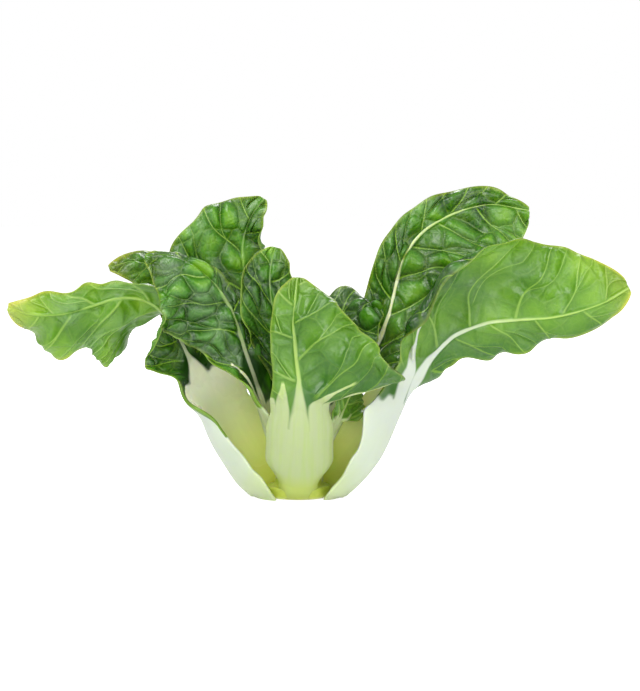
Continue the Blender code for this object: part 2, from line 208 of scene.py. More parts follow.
def drift(s, t, size, rng, count=9):  # a soft random field, about -1 to 1, with waves of about this size
    total = np.zeros(s.shape)
    for _ in range(count):
        angle, phase = rng.uniform(0, 2 * math.pi), rng.uniform(0, 2 * math.pi)
        stretch = rng.uniform(0.7, 1.5)
        total += np.sin(2 * math.pi * (s * math.cos(angle) + t * math.sin(angle)) / (size * stretch) + phase)
    return total / math.sqrt(count)


def cellGaps(s, t, size, rng):  # mm to the nearest edge in an uneven mesh of cells, and each cell's number
    columns, rows = int(np.ptp(s) / size) + 6, int(np.ptp(t) / size) + 6
    jitter = rng.uniform(0.1, 0.9, (columns, rows, 2))
    own = rng.uniform(0, 1, (columns, rows))
    i, j = s / size - s.min() / size + 2, t / size - t.min() / size + 2
    lowI, lowJ = np.floor(i).astype(int), np.floor(j).astype(int)
    best, second, share = np.full(s.shape, 9.0), np.full(s.shape, 9.0), np.zeros(s.shape)
    for stepI in (-1, 0, 1):
        for stepJ in (-1, 0, 1):
            a = np.clip(lowI + stepI, 0, columns - 1)
            b = np.clip(lowJ + stepJ, 0, rows - 1)
            d = np.hypot(i - a - jitter[a, b, 0], j - b - jitter[a, b, 1])
            second = np.minimum(second, np.maximum(d, best))
            share = np.where(d < best, own[a, b], share)
            best = np.minimum(best, d)
    return (second - best) * size / 2, share


def fromVein(count):  # a side vein runs at each whole number of the count
    return np.abs(np.mod(count + 0.5, 1) - 0.5)


# The relief and thickness of a leaf, the masks that its finishes read, and the place on the flat leaf, in mm
def leafFields(form, u, q):
    look = form.look
    rng = np.random.default_rng(look["seed"])
    x = form.alongBlade(u)
    s = u * form.length
    side = np.abs(q)
    reach = np.where(q < 0, form.halfWidth(u, 0), form.halfWidth(u, 1))
    t = q * reach
    away = np.abs(t)
    fromMargin = (1 - side) * reach
    stalkHalf = np.where(q < 0, form.stalkHalf(u, 0), form.stalkHalf(u, 1))
    inBlade = smooth(0, 0.05, x)
    body = np.exp(-((np.maximum(away - 0.5 * stalkHalf, 0) / (0.6 + 0.35 * stalkHalf)) ** 2))
    body = np.where(u < form.neck, 1, body)
    # side veins, which lean towards the tip, wander, and fork on their way to the margin
    sweep = veining["sweep"] / max(form.blade[0] + form.blade[1])
    spacing, lean = look["spacing"], rng.uniform(*veining["lean"])
    (stray, straySize), (tremble, trembleSize) = veining["stray"], veining["tremble"]
    count = (s - form.neck * form.length - lean * away - sweep * away**2) / spacing
    count += 0.45 * (q >= 0) + stray * drift(s, t, straySize, rng) + tremble * drift(s, t, trembleSize, rng)
    slant = 1 / np.sqrt(1 + (lean + 2 * sweep * away) ** 2)
    forkStray, forkStraySize = veining["forkStray"]
    fork = count - 0.5 * smooth(*veining["fork"], side + forkStray * drift(s, t, forkStraySize, rng))
    veinWidth = veining["thin"] + veining["wide"] * np.exp(-away / veining["fadeOver"])
    veinWidth = veinWidth * (1 - 0.5 * x) / (spacing * slant)
    forkWidth = veining["forkShare"] * veinWidth * smooth(0.24, 0.3, side) + 0.0001
    near = np.minimum(fromVein(count), fromVein(fork) + 0.3 * (side < 0.24)) * spacing * slant
    # pale bundles part at the top of the stalk, and thin away into the blade
    merge = s - form.neck * form.length + look["window"] + 1.5 * drift(s * 0, t, 9, rng)
    broad = look["bundle"] * (1 - smooth(-2, look["taper"], merge))
    strand = np.zeros(u.shape)
    for place, length in look["strands"]:
        left = 1 - smooth(0, length, x)
        d = np.abs(q - place * (1 + 0.12 * np.sin(5 * x))) * reach
        along = (1 - smooth(0.5, 1.3, d / (broad + 0.5 + 0.7 * left))) * smooth(0, 0.3, left)
        strand = np.maximum(strand, along)
    ribHalf = broad + 0.4 + 1.1 * (1 - x) ** 1.5
    rib = (1 - smooth(0.5, 1.3, away / ribHalf)) * (1 - 0.5 * x) * look["rib"]
    rib = np.maximum(rib, (1 - smooth(0.5, 1.3, away / ribHalf)) * (1 - smooth(2, 20, merge)))
    pale = np.maximum.reduce([1 - smooth(-1.8, 1.8, merge), 0.95 * strand, rib])
    # on an outer leaf the green runs on down one rim of the stalk in a narrow band
    if look["wing"]:
        wingSide, wingFrom, wingWide = look["wing"]
        wing = wingWide * smooth(wingFrom, 1, u / form.neck)
        wing = wing * (0.7 + 0.3 * np.sin(2 * math.pi * s / 17)) + 0.01
        onWing = (q * wingSide > 0) * (u < form.neck)
        pale = pale * (1 - onWing * (1 - smooth(0.7, 1.1, (fromMargin + 0.3) / wing)))
    # the blade domes between its side veins and within each cell of the net, puckers, and waves at its margin
    quiet = smooth(0, 4, fromMargin) * (1 - body) * inBlade
    warpedS = s + 1.6 * drift(s, t, 23, rng)
    warpedT = t + 1.6 * drift(s, t, 23, rng)
    gap, own = cellGaps(warpedS, warpedT, look["cell"], rng)
    gap = np.minimum(gap, near)
    up = relief["side"] * (1 - np.exp(-near / 3) - 0.55) * quiet
    dome = smooth(-0.2, 0.36, gap / look["cell"]) - 0.6
    up = up + look["domes"] * relief["cell"] * (0.65 + 0.7 * own) * dome * quiet
    up = up + look["pucker"] * relief["pucker"] * drift(s, t, relief["puckerSize"], rng, 14) * quiet
    wave = np.sin(2 * math.pi * s / relief["marginSize"] + 2 * drift(s, t, 60, rng))
    wave = relief["margin"] * wave * smooth(0.75, 1, side)
    up = up + wave * smooth(0.03, 0.15, x) * (1 - smooth(0.9, 1, x))
    ridges = np.sin(2 * math.pi * (q * look["ridges"] + 0.25 * drift(s, t, 50, rng)))
    ridges = ridges * smooth(0.1, 0.45, u / form.neck) * smooth(0, 0.2, 1 - side)
    ridges = ridges * body * (1 - 0.7 * inBlade)
    up = up + relief["ridge"] * look["stalkGreen"] * ridges
    # thick in the stalk and rib, thin in the blade
    share = np.clip(away / np.maximum(stalkHalf, 0.3), 0, 1)
    intoBlade = smooth(0.8 * form.neck, form.neck + 0.1, u)
    stalkThick = form.stalkThick * (1 - 0.35 * u / form.neck).clip(0.5, 1)
    thick = stalkThick * (1 - intoBlade) + relief["rib"] * intoBlade
    thick = thick * np.clip(1 - (u - form.neck) * form.length / form.ribLength, 0.3, 1)
    edge = np.minimum(relief["stalkEdge"], thick)
    stalk = edge + (thick - edge) * (1 - share**2) ** 0.7
    blade = relief["margins"] + (relief["blade"] - relief["margins"]) * smooth(0, 3, fromMargin)
    blade = blade + relief["bundle"] * strand * inBlade
    thickness = blade + np.maximum(stalk - blade, 0) * body
    # the yellow of age at the tip and the margins near it, and a thin paler line along every margin
    aged = smooth(0.8, 1.0, x) + 0.6 * (1 - smooth(0, 4, fromMargin)) * smooth(0.35, 0.9, x)
    aged = look["aged"] * aged + 0.3 * (1 - smooth(0.4, 1.8, fromMargin)) * (1 - pale)
    # painted shade: one half grows darker away from the midrib, as where that half faces down out of the
    # light
    paintedShade = np.where(q < 0, look["paintedShade"][0], look["paintedShade"][1]) * smooth(2, 14, away) * (1 - 0.6 * x)
    masks = dict(
        pale=np.clip(pale, 0, 1),
        veinCount=count,
        forkCount=fork,
        veinWidth=veinWidth,
        forkWidth=forkWidth,
        cellGap=gap,
        inBlade=smooth(0, 7, merge) * (1 - body),
        mottle=np.clip(0.5 + 0.5 * drift(s, t, 30, rng) + 0.7 * (x - 0.5), -1, 2),
        height=np.where(u < form.neck, u / form.neck, 1 + smooth(0, look["whiteRib"], x)) / 2,
        aged=np.clip(aged, 0, 1),
        upperTone=look["tone"][0] - paintedShade,
        lowerTone=look["tone"][1] - paintedShade,
        stalkGreen=np.full(u.shape, look["stalkGreen"]),
        # patches of the wax's bloom, which also stand in as a painted sheen
        bloomAndSheen=np.clip(look["bloomAndSheen"] * (0.45 + 0.7 * drift(s, t, 22, rng, 14)), 0, 1),
    )
    return up, thickness, masks, s, t


def makeLeaf(name, entry, skins):
    form = LeafForm(**entry)
    size = "large" if max(entry["left"] + entry["right"]) > largeLeaf else "small"
    stalkRows, bladeRows, columns = grids[size]
    p = np.linspace(0, 1, bladeRows)
    rows = np.concatenate([np.linspace(0, form.neck, stalkRows, endpoint=False),
                           form.neck + (0.998 - form.neck) * (1 - (1 - p) ** 1.2)])
    u, q = np.meshgrid(rows, np.linspace(-1, 1, columns), indexing="ij")
    bpy.ops.mesh.primitive_grid_add(x_subdivisions=columns - 1, y_subdivisions=len(rows) - 1, size=2)
    leaf = bpy.context.object
    leaf.name = leaf.data.name = name
    grid = np.empty(len(leaf.data.vertices) * 3)
    leaf.data.vertices.foreach_get("co", grid)
    grid = grid.reshape(-1, 3)
    row = np.rint((grid[:, 1] + 1) / 2 * (len(rows) - 1)).astype(int)
    column = np.rint((grid[:, 0] + 1) / 2 * (columns - 1)).astype(int)
    middle = form.point(u, q)
    normal = np.cross(np.gradient(middle, axis=1), np.gradient(middle, axis=0))
    normal /= np.linalg.norm(normal, axis=2)[:, :, None]
    up, thickness, masks, s, t = leafFields(form, u, q)
    surface = middle + normal * up[:, :, None]
    foot = max(form.start - relief["sunk"], relief["overCut"]) if form.start else 0
    surface[0, :, 2] = foot
    leaf.data.vertices.foreach_set("co", (surface[row, column] * mm).ravel())
    for key, mask in masks.items():
        layer = leaf.data.attributes.new(key, "FLOAT", "POINT")
        layer.data.foreach_set("value", mask[row, column].astype(np.float32))
    loops = np.empty(len(leaf.data.loops), int)
    leaf.data.loops.foreach_get("vertex_index", loops)
    flat = np.stack([t, s], axis=-1)[row, column] / flatUnit
    leaf.data.uv_layers[0].name = "flatLeaf"
    leaf.data.uv_layers[0].data.foreach_set("uv", flat[loops].ravel())
    group = leaf.vertex_groups.new(name="thickness")
    share = (thickness / thickness.max())[row, column]
    for k, value in enumerate(share):
        group.add([k], value, "REPLACE")
    for skin in skins:
        leaf.data.materials.append(skin)
    wall = leaf.modifiers.new("wall", "SOLIDIFY")
    wall.thickness = float(thickness.max()) * mm
    wall.offset = 0
    wall.vertex_group = "thickness"
    wall.material_offset = wall.material_offset_rim = 1
    bpy.ops.object.modifier_apply(modifier="wall")
    leaf.vertex_groups.clear()
    places = np.empty(len(leaf.data.vertices) * 3)
    leaf.data.vertices.foreach_get("co", places)
    low, high = np.array(cadBox[0]), np.array(cadBox[1])
    low[2] = foot * mm
    leaf.data.vertices.foreach_set("co", np.clip(places.reshape(-1, 3), low, high).ravel())
    leaf.data.update()
    bpy.ops.object.shade_smooth()
    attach(leaf, "root")
    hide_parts("stalk_" + name, "blade_" + name)
    leaf.select_set(False)
    print("leaf", name, "done")


# The finish is living leaf under a thin coat of its own wax, which gives soft highlights. The upper side is
# smooth, dark and glossy, the lower one paler and duller, with its veins standing out. Both run from the pale
# watery flesh of the stalk to the green of the blade.
# Each side also sets how much painted shade darkens the hollows along its veins, beside painted light on each
# dome top
sides = dict(
    waxyLeafUpper=dict(dark="173f06", mid="3e7c0c", pale="8fc02c", vein="b9d67c", flesh="f4f6e2",
                       low="eaee94", foot="dbe25c", greenFlesh="e2ebb2", rough=0.27, domes=1.0, paintedValleyShade=0.8,
                       veins=0.6, tone="upperTone"),
    waxyLeafLower=dict(dark="2e640c", mid="588a14", pale="90b934", vein="b2cf6c", flesh="cfd7ce",
                       low="cbd5c4", foot="c3d0a8", greenFlesh="acbb7f", rough=0.38, domes=-0.6, paintedValleyShade=0.54,
                       veins=0.4, tone="lowerTone"),
)
glowColour = (0.8, 1.0, 0.3)  # how far red, green and blue light pass into leaf and stem, beside each other
flatUnit = 100  # mm to one unit of the flat leaf's map
fineSize = 3.2  # mm across the finest mesh of veins
streakSize = 2.6  # mm across the streaks of a stalk
blotchSize = 31  # mm across the clouds of lighter and darker green
# What both sides share: the strength of the net of veins and of the finest ones, the greens of margin, age,
# wax bloom with its painted sheen, foot and streaks, the fine relief with its height in mm, the share of
# light that passes into blade and stalk, how deep in mm, and the wax
bothSides = dict(
    net=0.26, fineNet=0.08, margin="8fb13a", aged="c9c24a", bloomAndSheen="93bb82", greenFoot="b3c24e",
    streak="a9c45e", bump=0.7, bumpHeight=1.1, glowBlade=0.25, glowStalk=0.6, glowDepth=4,
    wax=0.3, waxRough=0.17, ior=1.42,
)


def leafSkin(name, look):
    skin = bpy.data.materials.new(name)
    skin.use_nodes = True
    tree = skin.node_tree
    shader = tree.nodes["Principled BSDF"]
    keys = ("pale", "veinCount", "forkCount", "veinWidth", "forkWidth", "cellGap", "inBlade", "mottle",
            "height", "aged", "stalkGreen", "bloomAndSheen", look["tone"])
    mask = {key: addNode(tree, "Attribute", {}, attribute_name=key).outputs["Fac"] for key in keys}
    step = dict(interpolation_type="SMOOTHSTEP")
    times, plus, most = dict(operation="MULTIPLY"), dict(operation="ADD"), dict(operation="MAXIMUM")
    flat = addNode(tree, "UVMap", {}, uv_map="flatLeaf")
    # the finest veins: a warped mesh, so that it runs unevenly like a real one
    warp = addNode(tree, "TexNoise", {"Vector": flat, "Scale": 9.0, "Detail": 2.0}).outputs["Color"]
    centred = addNode(tree, "VectorMath", {0: warp, 1: (0.5, 0.5, 0.5)}, operation="SUBTRACT")
    shift = addNode(tree, "VectorMath", {0: centred, "Scale": 0.045}, operation="SCALE")
    place = addNode(tree, "VectorMath", {0: flat, 1: shift}, operation="ADD")
    fine = addNode(tree, "TexVoronoi", {"Vector": place, "Scale": flatUnit / fineSize},
                   voronoi_dimensions="2D", feature="DISTANCE_TO_EDGE")
    net = addNode(tree, "MapRange",
                  {0: mask["cellGap"], 1: 0.05, 2: 0.5, 3: bothSides["net"], 4: 0.0}, **step)
    fineNet = addNode(tree, "MapRange", {0: fine, 1: 0.02, 2: 0.16, 3: bothSides["fineNet"], 4: 0.0}, **step)
    veins = addNode(tree, "Math", {0: net, 1: fineNet}, **most)
    for count, width in (("veinCount", "veinWidth"), ("forkCount", "forkWidth")):
        turn = addNode(tree, "Math", {0: mask[count], 1: 100.5}, **plus)
        part = addNode(tree, "Math", {0: turn}, operation="FRACT")
        offset = addNode(tree, "Math", {0: part, 1: 0.5}, operation="SUBTRACT")
        gap = addNode(tree, "Math", {0: offset}, operation="ABSOLUTE")
        ratio = addNode(tree, "Math", {0: gap, 1: mask[width]}, operation="DIVIDE")
        vein = addNode(tree, "MapRange", {0: ratio, 1: 0.35, 2: 1.25, 3: 1.0, 4: 0.0}, **step)
        veins = addNode(tree, "Math", {0: veins, 1: vein}, **most)
    veins = addNode(tree, "Math", {0: veins, 1: mask["inBlade"]}, **times)
    # the green of the blade: clouded, with painted light on top of each dome and painted shade in the hollows
    # along its veins
    blotch = addNode(tree, "TexNoise", {"Vector": flat, "Scale": flatUnit / blotchSize, "Detail": 4.0})
    valleyShadeDomeLight = addNode(tree, "MapRange", {0: mask["cellGap"], 1: 0.0, 2: 4.0, 3: -look["paintedValleyShade"] - 0.15, 4: -0.53},
                  **step)
    tone = addNode(tree, "Math", {0: blotch, 1: 0.8, 2: valleyShadeDomeLight}, operation="MULTIPLY_ADD")
    tone = addNode(tree, "Math", {0: mask["mottle"], 1: 0.35, 2: tone}, operation="MULTIPLY_ADD")
    tone = addNode(tree, "Math", {0: mask[look["tone"]], 1: tone}, use_clamp=True, **plus)
    green = addNode(tree, "ValToRGB", {0: tone},
                    ((0.0, look["dark"]), (0.5, look["mid"]), (1.0, look["pale"])))
    veinColour = addNode(tree, "ValToRGB", {0: tone}, ((0.0, look["pale"]), (0.6, look["vein"])))
    share = addNode(tree, "Math", {0: veins, 1: look["veins"]}, **times)
    blade = addNode(tree, "Mix", {0: share, 6: green, 7: veinColour}, data_type="RGBA")
    old = addNode(tree, "ValToRGB", {0: mask["aged"]}, ((0.0, bothSides["margin"]), (1.0, bothSides["aged"])))
    share = addNode(tree, "Math", {0: mask["aged"], 1: 0.8}, **times)
    blade = addNode(tree, "Mix", {0: share, 6: blade, 7: old}, data_type="RGBA")
    # the bloom of its wax, a dull pale green that lies on the blade in patches and also serves as a painted
    # sheen
    share = addNode(tree, "Math", {0: mask["bloomAndSheen"], 1: mask["inBlade"]}, **times)
    blade = addNode(tree, "Mix", {0: share, 6: blade, 7: linear(bothSides["bloomAndSheen"])}, data_type="RGBA")
    # the stalk: streaked along its length, yellower towards its foot, and green where it turns into the blade
    stretched = addNode(tree, "Mapping", {"Vector": flat, "Scale": (1, 0.06, 1)})
    streaks = addNode(tree, "TexNoise", {"Vector": stretched, "Scale": flatUnit / streakSize, "Detail": 3.0})
    white = addNode(tree, "ValToRGB", {0: mask["height"]},
                    ((0.0, look["foot"]), (0.16, look["low"]), (0.42, look["flesh"]), (0.55, look["flesh"]),
                     (1.0, look["vein"])))
    greenish = addNode(tree, "ValToRGB", {0: mask["height"]},
                       ((0.0, bothSides["greenFoot"]), (0.1, look["greenFlesh"]), (0.55, look["greenFlesh"]),
                        (1.0, look["vein"])))
    stalk = addNode(tree, "Mix", {0: mask["stalkGreen"], 6: white, 7: greenish}, data_type="RGBA")
    share = addNode(tree, "MapRange", {0: streaks, 1: 0.4, 2: 0.75, 3: 0.0, 4: 0.45}, **step)
    share = addNode(tree, "Math", {0: share, 1: mask["stalkGreen"]}, **times)
    stalk = addNode(tree, "Mix", {0: share, 6: stalk, 7: linear(bothSides["streak"])}, data_type="RGBA")
    share = addNode(tree, "MapRange", {0: mask["pale"], 1: 0.1, 2: 0.8, 3: 0.0, 4: 1.0}, **step)
    colour = addNode(tree, "Mix", {0: share, 6: blade, 7: stalk}, data_type="RGBA")
    tree.links.new(colour.outputs[2], shader.inputs["Base Color"])
    # the same net as relief: the blade swells between its veins on one side and hollows on the other
    swell = addNode(tree, "MapRange", {0: mask["cellGap"], 1: 0.0, 2: 1.6, 3: 0.0, 4: 0.5}, **step)
    height = addNode(tree, "MapRange", {0: fine, 1: 0.0, 2: 0.35, 3: 0.0, 4: 0.22}, **step)
    height = addNode(tree, "Math", {0: swell, 1: height}, **plus)
    height = addNode(tree, "Math", {0: height, 1: mask["inBlade"]}, **times)
    height = addNode(tree, "Math", {0: height, 1: look["domes"]}, **times)
    height = addNode(tree, "Math", {0: streaks, 1: 0.05, 2: height}, operation="MULTIPLY_ADD")
    bump = addNode(tree, "Bump", {"Height": height, "Strength": bothSides["bump"],
                                  "Distance": bothSides["bumpHeight"] * mm})
    tree.links.new(bump.outputs["Normal"], shader.inputs["Normal"])
    gloss = addNode(tree, "MapRange",
                    {0: blotch, 1: 0.35, 2: 0.65, 3: look["rough"] - 0.04, 4: look["rough"] + 0.1})
    tree.links.new(gloss.outputs[0], shader.inputs["Roughness"])
    # light goes a little way into the blade, and through the watery flesh of the stalk
    glow = addNode(tree, "MapRange",
                   {0: mask["pale"], 1: 0.0, 2: 1.0, 3: bothSides["glowBlade"], 4: bothSides["glowStalk"]})
    tree.links.new(glow.outputs[0], shader.inputs["Subsurface Weight"])
    shader.inputs["Subsurface Radius"].default_value = glowColour
    shader.inputs["Subsurface Scale"].default_value = bothSides["glowDepth"] * mm
    shader.inputs["IOR"].default_value = bothSides["ior"]
    shader.inputs["Coat Weight"].default_value = bothSides["wax"]
    shader.inputs["Coat Roughness"].default_value = bothSides["waxRough"]
    skin.diffuse_color = linear(look["mid"])
    return skin


skins = [leafSkin(name, look) for name, look in sides.items()]
print("finishes done")

# The rings of stalks, from the frame's design: middle radius, foot height and thickness
rings = {
    "outer": (20.0, 0.0, 5.6),
    "second": (14.2, 5.8, 4.4),
    "third": (9.4, 10.0, 3.6),
    "heart": (5.4, 14.0, 2.6),
}

